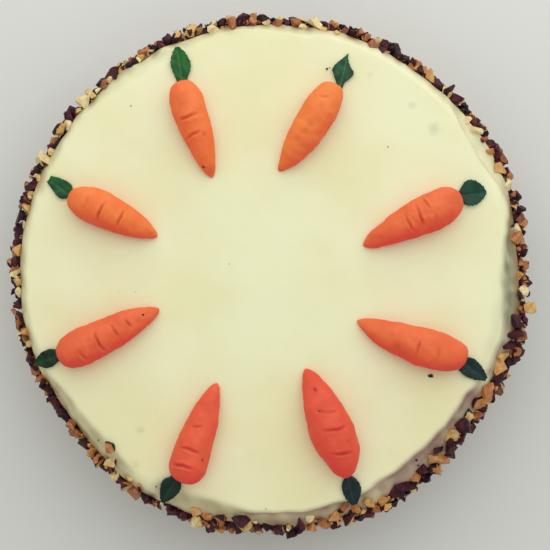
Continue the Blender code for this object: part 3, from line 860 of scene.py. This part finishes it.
def makeNuts():
    chance = np.random.default_rng(nuts["seed"])
    materials = makeNutMaterials()
    count = nuts["shapes"]
    large = [nutShape(chance, 3, int(chance.integers(4, 8))) for _ in range(count["large"])]
    small = [nutShape(chance, 2, int(chance.integers(3, 6))) for _ in range(count["small"])]
    crumb = [nutShape(chance, 1, 2) for _ in range(count["crumb"])]
    chosen = chosenSpots()
    spots = chosen + nutSpots(nuts["large"], chance, 0.31, chosen)
    spots += nutSpots(nuts["top"], chance, 0.77, spots)
    makeNutPiece("nutChunks", large, spots, chance, materials, ["nut_coat"])
    spots = nutSpots(nuts["small"], chance, 0.62, chosen)
    makeNutPiece("nutBits", small, spots, chance, materials)
    spots = nutSpots(nuts["crumbs"], chance, 0.17, chosen)
    makeNutPiece("nutCrumbs", crumb, spots, chance, materials)
    spots = ringSpots(nuts["ring"], chance, chosen)
    makeNutPiece("nutRim", large, spots, chance, materials)
    makeNutPiece("looseNuts", small, looseSpots(), chance, materials)
    return small, materials


nutChips, nutMaterials = makeNuts()
print("nuts made")


# Marzipan carrots. Along a carrot, 0 is the thick crown and 1 the tip; round it, 0 degrees is
# the top and plus is left, looking from tip to crown.
carrotLook = dict(
    around=84, stations=150, roundness=0.84, lump=0.26 * mm, lumpPitch=13 * mm,
    fineLump=0.10 * mm, finePitch=4.0 * mm, roughness=0.50, slit=0.72,
    paintedShadeRed=(244, 47, 46), paintedShadeLowShare=0.35, near=0.75, wobble=0.12 * mm, lip=0.36, press=0.95,
    darken=(0.66, 0.42, 0.46, 1.0), floorGap=0.03 * mm,
)

# lit and deep are the two tones, and near is how much painted shade reddens the side away from the
# lamp
# creases: (share, side) of the left and the right end, depth and width in mm, where along it
# the knife pressed hardest, and how far its middle bows to the tip
# bulges: share, side (1 left, -1 right), reach as a share, and size in mm
# dimples: share, side in degrees, reach and depth in mm
# crumbs of nut skin on it: share, side and size
carrots = {
    "carrot_1": dict(
        lit=(243, 114, 60), deep=(233, 99, 52),
        creases=[((0.345, 58), (0.325, 10), 0.75, 0.75, 0.45, 0.0),
                 ((0.425, 50), (0.452, -34), 1.0, 0.85, 0.70, -0.005),
                 ((0.545, 44), (0.550, -30), 0.8, 0.80, 0.80, 0.008),
                 ((0.300, -6), (0.350, -46), 0.3, 1.5, 0.50, 0.0)],
        bulges=[(0.30, -1, 0.13, 0.5), (0.80, 1, 0.15, -0.3)],
        dimples=[(0.85, -8, 2.2, 0.3), (0.90, 22, 1.8, 0.25), (0.12, 10, 4.0, 0.2)],
    ),
    "carrot_2": dict(
        lit=(251, 138, 62), deep=(246, 119, 53), near=0.55,
        creases=[((0.205, 26), (0.165, -6), 0.35, 1.0, 0.50, 0.0)],
        bulges=[(0.12, -1, 0.10, -0.7), (0.56, -1, 0.14, 0.7), (0.84, -1, 0.10, 0.6),
                (0.88, 1, 0.12, -0.8)],
        dimples=[(0.27, 3, 1.4, 0.3), (0.40, -10, 2.0, 0.2), (0.48, 2, 2.0, 0.25),
                 (0.56, 6, 2.0, 0.3), (0.66, 16, 1.6, 0.25)],
    ),
    "carrot_3": dict(
        lit=(252, 128, 62), deep=(247, 111, 53), near=0.30,
        creases=[((0.386, 44), (0.380, -24), 0.9, 0.95, 0.35, 0.0),
                 ((0.585, 60), (0.550, -14), 0.8, 0.85, 0.55, -0.006)],
        bulges=[(0.25, 1, 0.10, -0.2), (0.75, -1, 0.15, 0.3)],
        dimples=[(0.59, -26, 1.2, 0.4), (0.24, 12, 3.5, 0.3), (0.93, 0, 2.0, 0.35)],
        crumbs=[(0.883, 36, 1.5)],
    ),
    "carrot_4": dict(
        lit=(251, 131, 60), deep=(244, 111, 51), near=0.60,
        creases=[((0.407, 44), (0.412, -34), 1.0, 0.80, 0.35, -0.024),
                 ((0.604, 38), (0.610, -34), 0.95, 0.80, 0.50, -0.008),
                 ((0.228, 22), (0.207, -32), 0.35, 1.1, 0.60, 0.0)],
        bulges=[(0.5, -1, 0.2, 0.3)],
        dimples=[(0.93, 12, 1.5, 0.3), (0.76, 10, 1.6, 0.2), (0.12, -10, 3.0, 0.2)],
    ),
    "carrot_5": dict(
        lit=(243, 112, 62), deep=(231, 95, 52),
        creases=[((0.240, 48), (0.212, 4), 0.5, 1.0, 0.40, 0.0),
                 ((0.420, 50), (0.416, -28), 1.0, 0.85, 0.50, -0.012),
                 ((0.588, 26), (0.582, -32), 0.75, 0.85, 0.45, -0.010),
                 ((0.716, 18), (0.704, -24), 0.85, 0.75, 0.50, 0.0)],
        bulges=[(0.8, -1, 0.15, 0.3)],
        dimples=[(0.80, 12, 1.5, 0.25), (0.90, -6, 1.2, 0.2)],
        crumbs=[(0.861, -10, 1.1)],
    ),
    "carrot_6": dict(
        lit=(242, 98, 61), deep=(230, 83, 53),
        creases=[((0.182, 18), (0.150, -54), 1.0, 1.05, 0.55, 0.010),
                 ((0.335, 24), (0.330, -44), 0.75, 0.90, 0.40, 0.012),
                 ((0.582, 6), (0.545, -34), 0.55, 0.85, 0.50, 0.0)],
        bulges=[(0.15, 1, 0.12, 0.6), (0.22, -1, 0.15, -0.4)],
        dimples=[(0.78, -6, 2.0, 0.25), (0.70, 10, 3.0, 0.2)],
        crumbs=[(0.289, 42, 1.2)],
    ),
    "carrot_7": dict(
        lit=(239, 90, 59), deep=(225, 76, 51),
        creases=[((0.206, 38), (0.252, -22), 0.9, 1.0, 0.60, -0.006),
                 ((0.300, 42), (0.312, 22), 0.35, 0.9, 0.50, 0.0),
                 ((0.436, 44), (0.476, -22), 0.9, 1.0, 0.45, -0.014),
                 ((0.585, 38), (0.634, -16), 0.6, 0.85, 0.35, -0.012)],
        bulges=[(0.17, -1, 0.11, -1.5), (0.55, -1, 0.15, 0.3)],
        dimples=[(0.812, 0, 1.0, 0.5), (0.634, -13, 1.0, 0.45), (0.80, -14, 2.2, 0.25)],
        crumbs=[(0.812, 0, 0.9), (0.634, -13, 0.8)],
    ),
    "carrot_8": dict(
        lit=(243, 116, 60), deep=(232, 99, 52),
        creases=[((0.446, 14), (0.436, -40), 0.85, 0.80, 0.20, 0.0),
                 ((0.272, 16), (0.260, -32), 0.4, 1.2, 0.50, -0.006)],
        bulges=[(0.06, 1, 0.06, 0.5)],
        dimples=[(0.614, -33, 2.0, 0.4), (0.54, -22, 2.0, 0.3), (0.70, 6, 1.4, 0.2)],
    ),
}


def creaseRelief(look, along, around, length):
    depth = np.zeros(along.shape)
    for (shareL, sideL), (shareR, sideR), deep, wide, peak, bow in look["creases"]:
        u = (sideL - around) / (sideL - sideR)
        inside = np.clip(u, -0.2, 1.2)
        middle = shareL + (shareR - shareL) * inside + bow * 4 * inside * (1 - inside)
        wobble = carrotLook["wobble"] * np.sin(0.16 * around + 40 * shareL)
        x = ((along - middle) * length + wobble) / (wide * carrotLook["slit"] * mm)
        strength = easeIn((u + 0.12) / 0.3) * easeIn((1.12 - u) / 0.3)  # fades at both ends
        strength *= 0.4 + 0.6 * np.exp(-(((u - peak) / 0.42) ** 2))
        groove = np.exp(-x * x) - carrotLook["lip"] * np.exp(-((np.abs(x) - 2.1) / 1.1) ** 2)
        depth += carrotLook["press"] * deep * mm * strength * groove
    return depth


def makeCarrot(node, look, seed):
    leafMiddle = cadPoints(node.replace("carrot", "leaf")).mean(0)
    start, along, length = planAxis(node, leafMiddle)
    left = np.array((along[1], -along[0], 0.0))
    floor = cakeTop + carrotLook["floorGap"]
    count = carrotLook["stations"]
    phi = np.arange(1, count + 1) * math.pi / (count + 1)
    share = (1 - np.cos(phi)) / 2
    rows = slicesOf(node, start, along, share * length)
    plusReach, minusReach = -rows[:, 0], rows[:, 1]
    half, middle = (plusReach + minusReach) / 2, (plusReach - minusReach) / 2
    axis = rows[:, 3] - carrotLook["roundness"] * half
    half = smear(half, 3, "zero")
    middle, axis = smear(middle, 6), smear(axis, 8)
    leftReach, rightReach = middle + half, half - middle
    for at, side, reach, size in look["bulges"]:
        swell = size * mm * np.exp(-((share - at) / reach) ** 2) * np.minimum(1, half / (3 * mm))
        leftReach, rightReach = leftReach + swell * (side > 0), rightReach + swell * (side < 0)
    half, middle = (leftReach + rightReach) / 2, (leftReach - rightReach) / 2

    columns = carrotLook["around"]
    around = (np.arange(columns) + 0.5) * 360 / columns - 180
    a = np.radians(around)
    out = left[None] * np.sin(a)[:, None] + np.array((0, 0, 1.0)) * np.cos(a)[:, None]
    spine = start + along * (share * length)[:, None] + left * middle[:, None]
    spine[:, 2] = axis
    points = spine[:, None] + left * (half[:, None] * np.sin(a))[..., None]
    points[..., 2] += carrotLook["roundness"] * half[:, None] * np.cos(a)
    # lumps of the rolling hand, then the creases and dimples pressed in
    relief = carrotLook["lump"] * waves(points, carrotLook["lumpPitch"], seed)
    relief += carrotLook["fineLump"] * waves(points, carrotLook["finePitch"], seed + 40)
    relief *= np.minimum(1, half / (4 * mm))[:, None]
    grid = np.broadcast_to(share[:, None], points.shape[:2])
    turn = np.broadcast_to(around[None], points.shape[:2])
    pressed = creaseRelief(look, grid, turn, length)
    for at, side, reach, deep in look["dimples"]:
        offAlong = (grid - at) * length
        offRound = np.radians(turned(turn, side)) * half[:, None]
        pressed = pressed + deep * mm * np.exp(-(offAlong**2 + offRound**2) / (reach * mm) ** 2)
    points += out[None] * (relief - pressed)[..., None]
    points[..., 2] = np.maximum(points[..., 2], floor)

    crown = spine[0] - along * share[0] * length
    tip = spine[-1] + along * (1 - share[-1]) * length
    crown[2] = max(spine[0][2], floor)
    tip[2] = max(spine[-1][2], floor)
    flat = np.concatenate([points.reshape(-1, 3), [crown, tip]])
    faces = closedLoft(count, columns)
    piece = makePiece(node.replace("carrot_", "marzipanCarrot"), flat, faces,
                      [makeMarzipanMaterial(node, look)], [node])
    turnOutward(piece)
    giveValue(piece, "pressed", np.concatenate([
        np.clip(pressed / (0.8 * mm), 0, 1).ravel(), (0, 0)]))
    giveValue(piece, "along", np.concatenate([grid.ravel(), (0, 1)]))
    crumbs = []
    for at, side, size in look.get("crumbs", ()):
        row, column = np.abs(share - at).argmin(), np.abs(around - side).argmin()
        place = points[row, column] + 0.2 * (size * mm) * out[column]
        crumbs.append((place, size * mm, 1.0, 2, out[column]))
    return dict(start=start, along=along, length=length, crumbs=crumbs)


def makeMarzipanMaterial(node, look):
    material, tree, shader = newMaterial("marzipan_" + node, carrotLook["roughness"], 0.4)
    paste = useGroup(tree, pasteGroup, {"Broad": 110.0, "Fine": 850.0, "Pits": 0.4})
    mottle = times(tree, paste["Mottle"], 0.7)
    colour = blendColours(tree, mottle, shade(*look["lit"]), shade(*look["deep"]))
    ends = remap(tree, readValue(tree, "along"), 0.0, 0.14, 0.45, 0.0)
    colour = blendColours(tree, ends, colour, shade(*look["deep"]))
    # painted shade: redder low down and on the side away from the lamp
    facing = addNode(tree, "ShaderNodeNewGeometry").outputs["Normal"]
    sides = addNode(tree, "ShaderNodeSeparateXYZ", {0: facing}).outputs
    low = remap(tree, sides["Z"], 0.05, 0.7, carrotLook["paintedShadeLowShare"], 0.0)
    near = remap(tree, sides["Y"], -0.9, 0.1, look.get("near", carrotLook["near"]), 0.0)
    paintedShadeRed = calculate(tree, "ADD", low, near, clamp=True)
    colour = blendColours(tree, paintedShadeRed, colour, shade(*carrotLook["paintedShadeRed"]))
    # painted shade: darker where the creases and dimples are pressed in, by how deep they are; the
    # same dark colour also makes the specks
    dark = blendColours(tree, 1.0, shade(*look["deep"]), carrotLook["darken"], "MULTIPLY")
    cut = times(tree, readValue(tree, "pressed"), 0.8)
    colour = blendColours(tree, cut, colour, dark)
    flecks = useGroup(tree, fleckGroup, {"Scale": 420.0, "Size": 0.16, "Share": 0.12})
    colour = blendColours(tree, times(tree, flecks["Mask"], 0.25), colour, dark)
    roughen(tree, shader, paste["Mottle"], carrotLook["roughness"], 0.12)
    paint(tree, shader, colour, paste["Height"], 0.55 * mm, 0.9)
    softenInside(shader, 0.15, 1.2 * mm, (1.0, 0.3, 0.1))
    return material


built = {node: makeCarrot(node, look, 50 + i) for i, (node, look) in enumerate(carrots.items())}
skinCrumbs = [crumb for carrot in built.values() for crumb in carrot["crumbs"]]
makeNutPiece("crumbsOnCarrots", nutChips, skinCrumbs, np.random.default_rng(7), nutMaterials)
print("carrots made")


# Marzipan leaves. left and right are the outline: share from base to tip, and half width in mm.
# length, droop, fork and shift are in mm, and ragged is how toothed the edge is.
leafLook = dict(rows=52, columns=31, thick=1.3 * mm, edge=0.45 * mm, fold=1.1 * mm,
                tuck=2.2 * mm, vein=0.30 * mm, veinWidth=0.42 * mm, sideVein=0.12 * mm,
                sideWidth=0.32 * mm, sidePitch=2.7 * mm, sideSweep=0.9, ripple=0.25 * mm,
                lump=0.12 * mm, lumpPitch=6 * mm, ribHighlight=(110, 170, 130), roughness=0.42)

leaves = {
    "leaf_1": dict(
        length=12.3, droop=0.0, tone=(11, 54, 38), light=(20, 74, 50), rib=0.06, ragged=0.16,
        shift=(0.3, -0.8),
        left=[(-0.1, 1.8), (0.04, 4.4), (0.18, 6.6), (0.38, 7.3), (0.6, 6.5), (0.8, 4.6),
              (0.93, 2.9), (1, 0.9)],
        right=[(-0.1, 2.4), (0, 3.6), (0.14, 5.2), (0.36, 5.8), (0.6, 5.2), (0.8, 3.4),
               (0.93, 1.7), (1, 0.5)]),
    "leaf_2": dict(
        length=17.2, droop=0.0, tone=(15, 58, 34), light=(36, 94, 58), rib=0.28, ragged=0.08,
        left=[(0, 1.1), (0.18, 2.9), (0.44, 6.0), (0.62, 4.9), (0.81, 2.5), (0.9, 1.2), (1, 0.2)],
        right=[(0, 1.3), (0.18, 1.7), (0.3, 3.7), (0.45, 5.1), (0.54, 4.7), (0.65, 2.6),
               (0.8, 0.9), (0.9, 0.3), (1, 0.1)]),
    "leaf_3": dict(
        length=16.0, droop=0.2, tone=(14, 72, 22), light=(32, 114, 42), rib=0.22, ragged=0.14,
        left=[(0, 2.7), (0.25, 3.9), (0.5, 4.5), (0.7, 3.7), (0.85, 2.5), (0.95, 1.6), (1, 1.0)],
        right=[(0, 2.7), (0.2, 4.7), (0.35, 5.4), (0.5, 5.4), (0.7, 4.2), (0.84, 3.1),
               (0.95, 1.5), (1, 0.8)]),
    "leaf_4": dict(
        length=12.0, droop=0.1, tone=(8, 60, 22), light=(28, 100, 42), rib=0.06, ragged=0.06,
        fork=1.6, shift=(-1.0, -1.4),
        left=[(-0.1, 2.2), (0.04, 3.9), (0.16, 4.5), (0.34, 4.2), (0.69, 2.8), (1, 1.5)],
        right=[(-0.1, 2.2), (0.02, 3.9), (0.12, 4.5), (0.35, 4.5), (0.68, 3.6), (1, 2.0)]),
    "leaf_5": dict(
        length=12.0, droop=0.8, tone=(4, 26, 16), light=(10, 56, 24), rib=0.06, ragged=0.06,
        shift=(-1.3, 1.2),
        left=[(0, 2.6), (0.34, 4.4), (0.58, 4.3), (0.86, 2.2), (1, 0.4)],
        right=[(0, 3.4), (0.22, 4.6), (0.57, 4.1), (0.84, 2.2), (1, 0.4)]),
    "leaf_6": dict(
        length=13.2, droop=0.8, tone=(4, 24, 20), light=(12, 46, 32), rib=0.06, ragged=0.08,
        left=[(0, 3.1), (0.15, 4.3), (0.33, 4.6), (0.6, 3.7), (0.85, 2.0), (1, 0.5)],
        right=[(0, 3.2), (0.17, 5.3), (0.38, 5.5), (0.63, 4.2), (0.87, 2.4), (1, 0.8)]),
    "leaf_7": dict(
        length=14.4, droop=0.5, tone=(8, 29, 33), light=(20, 46, 53), rib=0.06, ragged=0.08,
        left=[(0, 1.7), (0.12, 3.5), (0.29, 4.8), (0.5, 5.1), (0.71, 4.0), (0.94, 2.0), (1, 1.2)],
        right=[(0, 1.1), (0.12, 3.2), (0.3, 4.3), (0.53, 4.3), (0.78, 3.3), (0.95, 1.9),
               (1, 1.4)]),
    "leaf_8": dict(
        length=14.2, droop=0.3, tone=(9, 33, 35), light=(20, 53, 51), rib=0.06, ragged=0.08,
        fork=0.7,
        left=[(0, 3.4), (0.22, 4.8), (0.53, 4.2), (0.8, 2.8), (1, 1.2)],
        right=[(0, 4.2), (0.2, 4.8), (0.38, 4.8), (0.68, 3.5), (0.95, 1.3), (1, 0.8)]),
}


# Axis of a leaf, through the middles of its slices
def leafAxis(node, carrotMiddle):
    start, along, length = planAxis(node, carrotMiddle)
    for _ in range(2):
        stations = np.linspace(0.4, 0.93, 12) * length
        rows = slicesOf(node, start, along, stations)
        slope, offset = np.polyfit(stations, rows[:, :2].mean(1), 1)
        side = np.array((-along[1], along[0], 0.0))
        start = start + side * offset
        along = along + side * slope
        along /= np.linalg.norm(along)
        reach = (cadPoints(node) - start) @ along
        start, length = start + along * reach.min(), reach.max() - reach.min()
    return start + along * length, along


def makeLeaf(node, look, seed):
    carrot = built[node.replace("leaf", "carrot")]
    tip, along = leafAxis(node, carrot["start"] + carrot["along"] * 0.5 * carrot["length"])
    side = np.array((-along[1], along[0], 0.0))
    tip = tip + np.append(look.get("shift", (0, 0)), 0) * mm
    length = look["length"] * mm
    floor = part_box(node)[0].z if look["droop"] < 0.15 else cakeTop + 0.3 * mm
    rows, columns = leafLook["rows"], leafLook["columns"]
    first = -leafLook["tuck"] / length
    t = first + (1 - first) * np.sin(np.linspace(0, math.pi / 2, rows)) ** 1.2
    u = np.sin(np.linspace(-math.pi / 2, math.pi / 2, columns))

    def reach(outline, shift):
        at, halves = np.array(outline).T
        fine = np.linspace(first, 1, 240)
        smooth = smear(np.interp(fine, at, halves), 5)
        rough = look["ragged"] * (np.sin(fine * 41 + shift) + np.sin(fine * 67 + 2 * shift))
        return np.interp(t, fine, smooth + rough * np.clip(fine * 3, 0, 1)) * mm

    leftHalf, rightHalf = reach(look["left"], seed), reach(look["right"], seed + 2.0)
    across = np.where(u > 0, u * leftHalf[:, None], u * rightHalf[:, None])
    forward = t[:, None] * length + 0 * across
    if "fork" in look:  # a notch in the tip, with the two corners left long
        fork = look["fork"] * mm * np.clip((t[:, None] - 0.8) / 0.2, 0, 1)
        forward -= fork * (1 - np.abs(u)) ** 1.5
    wide = np.minimum(leftHalf, rightHalf)[:, None] / (4.5 * mm)
    wave = leafLook["ripple"] * np.sin(t * 9 + seed)[:, None] * np.abs(u) * u
    rise = leafLook["fold"] * np.abs(u) ** 1.3 * np.clip((t[:, None] - first) / 0.35, 0, 1)
    under = rise * np.clip(wide, 0.3, 1.1) + wave * np.clip(t[:, None] * 2, 0, 1)
    under = under - look["droop"] * mm * np.clip(t[:, None], 0, 1) ** 2
    under = np.maximum(under, -look["droop"] * mm)
    thick = leafLook["edge"] + (leafLook["thick"] - leafLook["edge"]) * np.sqrt(1 - u**2) * (
        np.clip(1.05 - t[:, None], 0, 1) ** 0.35)
    # a rib pressed down the middle and finer ones branching off it
    groove = leafLook["vein"] * np.exp(-(across / leafLook["veinWidth"]) ** 2)
    pitch = leafLook["sidePitch"]
    branch = (forward - np.abs(across) * leafLook["sideSweep"]) / pitch + 0.3 * np.sin(seed)
    near = np.abs(branch - np.round(branch)) * pitch
    sideGroove = leafLook["sideVein"] * np.exp(-(near / leafLook["sideWidth"]) ** 2)
    sideGroove = sideGroove * np.clip(1 - np.abs(u) ** 4, 0, 1)
    body = np.clip((1 - t[:, None]) * 6, 0, 1)
    spots = np.stack([forward, across, 0 * across], -1)
    lumps = leafLook["lump"] * waves(spots, leafLook["lumpPitch"], seed)
    over = under + thick - (groove + sideGroove) * body + lumps * (1 - np.abs(u))

    def place(height):
        base = tip - along * length
        up = np.array((0, 0, 1.0)) * (height + floor - base[2])[..., None]
        return base + along * forward[..., None] + side * across[..., None] + up

    ring = np.concatenate([place(over), place(under)[:, ::-1]], 1)
    ringCount = 2 * columns
    faces = loftFaces(rows, ringCount)
    faces.append(list(range(ringCount)))
    faces.append(list(range((rows - 1) * ringCount, rows * ringCount))[::-1])
    piece = makePiece(node.replace("leaf_", "marzipanLeaf"), ring.reshape(-1, 3), faces,
                      [makeLeafMaterial(node, look)], [node], crispAngle=70)
    turnOutward(piece)
    giveValue(piece, "rib", np.concatenate([groove / leafLook["vein"] * body, 0 * under], 1))


def makeLeafMaterial(node, look):
    material, tree, shader = newMaterial("green_" + node, leafLook["roughness"], 0.3)
    paste = useGroup(tree, pasteGroup, {"Broad": 240.0, "Fine": 1500.0, "Pits": 0.3})
    colour = blendColours(tree, paste["Mottle"], shade(*look["light"]), shade(*look["tone"]))
    # painted highlight: a paler line down the pressed rib, as strong as the leaf's rib value
    pale = times(tree, readValue(tree, "rib"), look["rib"])
    colour = blendColours(tree, pale, colour, shade(*leafLook["ribHighlight"]))
    paint(tree, shader, colour, paste["Height"], 0.2 * mm, 0.5)
    softenInside(shader, 0.08, 1 * mm, (0.3, 1.0, 0.4))
    return material


for i, (node, look) in enumerate(leaves.items()):
    makeLeaf(node, look, 90 + i)
print("leaves made")


# Room: plain pale floor, one broad soft lamp beyond the far edge, even fill from all round, and
# the camera straight above
room = dict(
    floorColours=[(228, 228, 224), (224, 224, 220)], floorSize=1.2,
    keyAt=(0.10, 0.56, 0.57), keySize=1.5, keyPower=5.3, keyColour=(0.985, 1.0, 1.02),
    fillColour=(0.985, 1.0, 0.95), fillStrength=0.57,
    cameraAt=(1.48 * mm, 0.49 * mm, 665 * mm), lens=79.6,
)


def makeRoom():
    half = room["floorSize"]
    floor = bpy.data.meshes.new("floor")
    floor.from_pydata([(-half, -half, 0), (half, -half, 0), (half, half, 0), (-half, half, 0)],
                      [], [(0, 1, 2, 3)])
    material, tree, shader = newMaterial("floorPaint", 0.75, 0.3)
    pale, dusty = [shade(*colour) for colour in room["floorColours"]]
    grain = texture(tree, "Noise", Scale=9.0)[0]
    tree.links.new(blendColours(tree, grain, pale, dusty), shader.inputs["Base Color"])
    floor.materials.append(material)
    addToScene("floor", floor)

    lamp = bpy.data.lights.new("key", "AREA")
    lamp.shape, lamp.size = "DISK", room["keySize"]
    lamp.energy, lamp.color = room["keyPower"], room["keyColour"]
    key = addToScene("key", lamp)
    key.location = room["keyAt"]
    key.rotation_euler = (-Vector(room["keyAt"])).to_track_quat("-Z", "Y").to_euler()
    key.visible_camera = False

    world = bpy.data.worlds.new("softRoom")
    world.use_nodes = True
    sky = world.node_tree.nodes["Background"]
    sky.inputs["Color"].default_value = (*room["fillColour"], 1.0)
    sky.inputs["Strength"].default_value = room["fillStrength"]
    bpy.context.scene.world = world

    camera = bpy.data.cameras.new("camera")
    camera.lens, camera.sensor_width = room["lens"], 36.0
    seat = addToScene("camera", camera)
    seat.location = room["cameraAt"]
    bpy.context.scene.camera = seat
    bpy.context.scene.view_settings.view_transform = "Standard"


makeRoom()
print("room made")
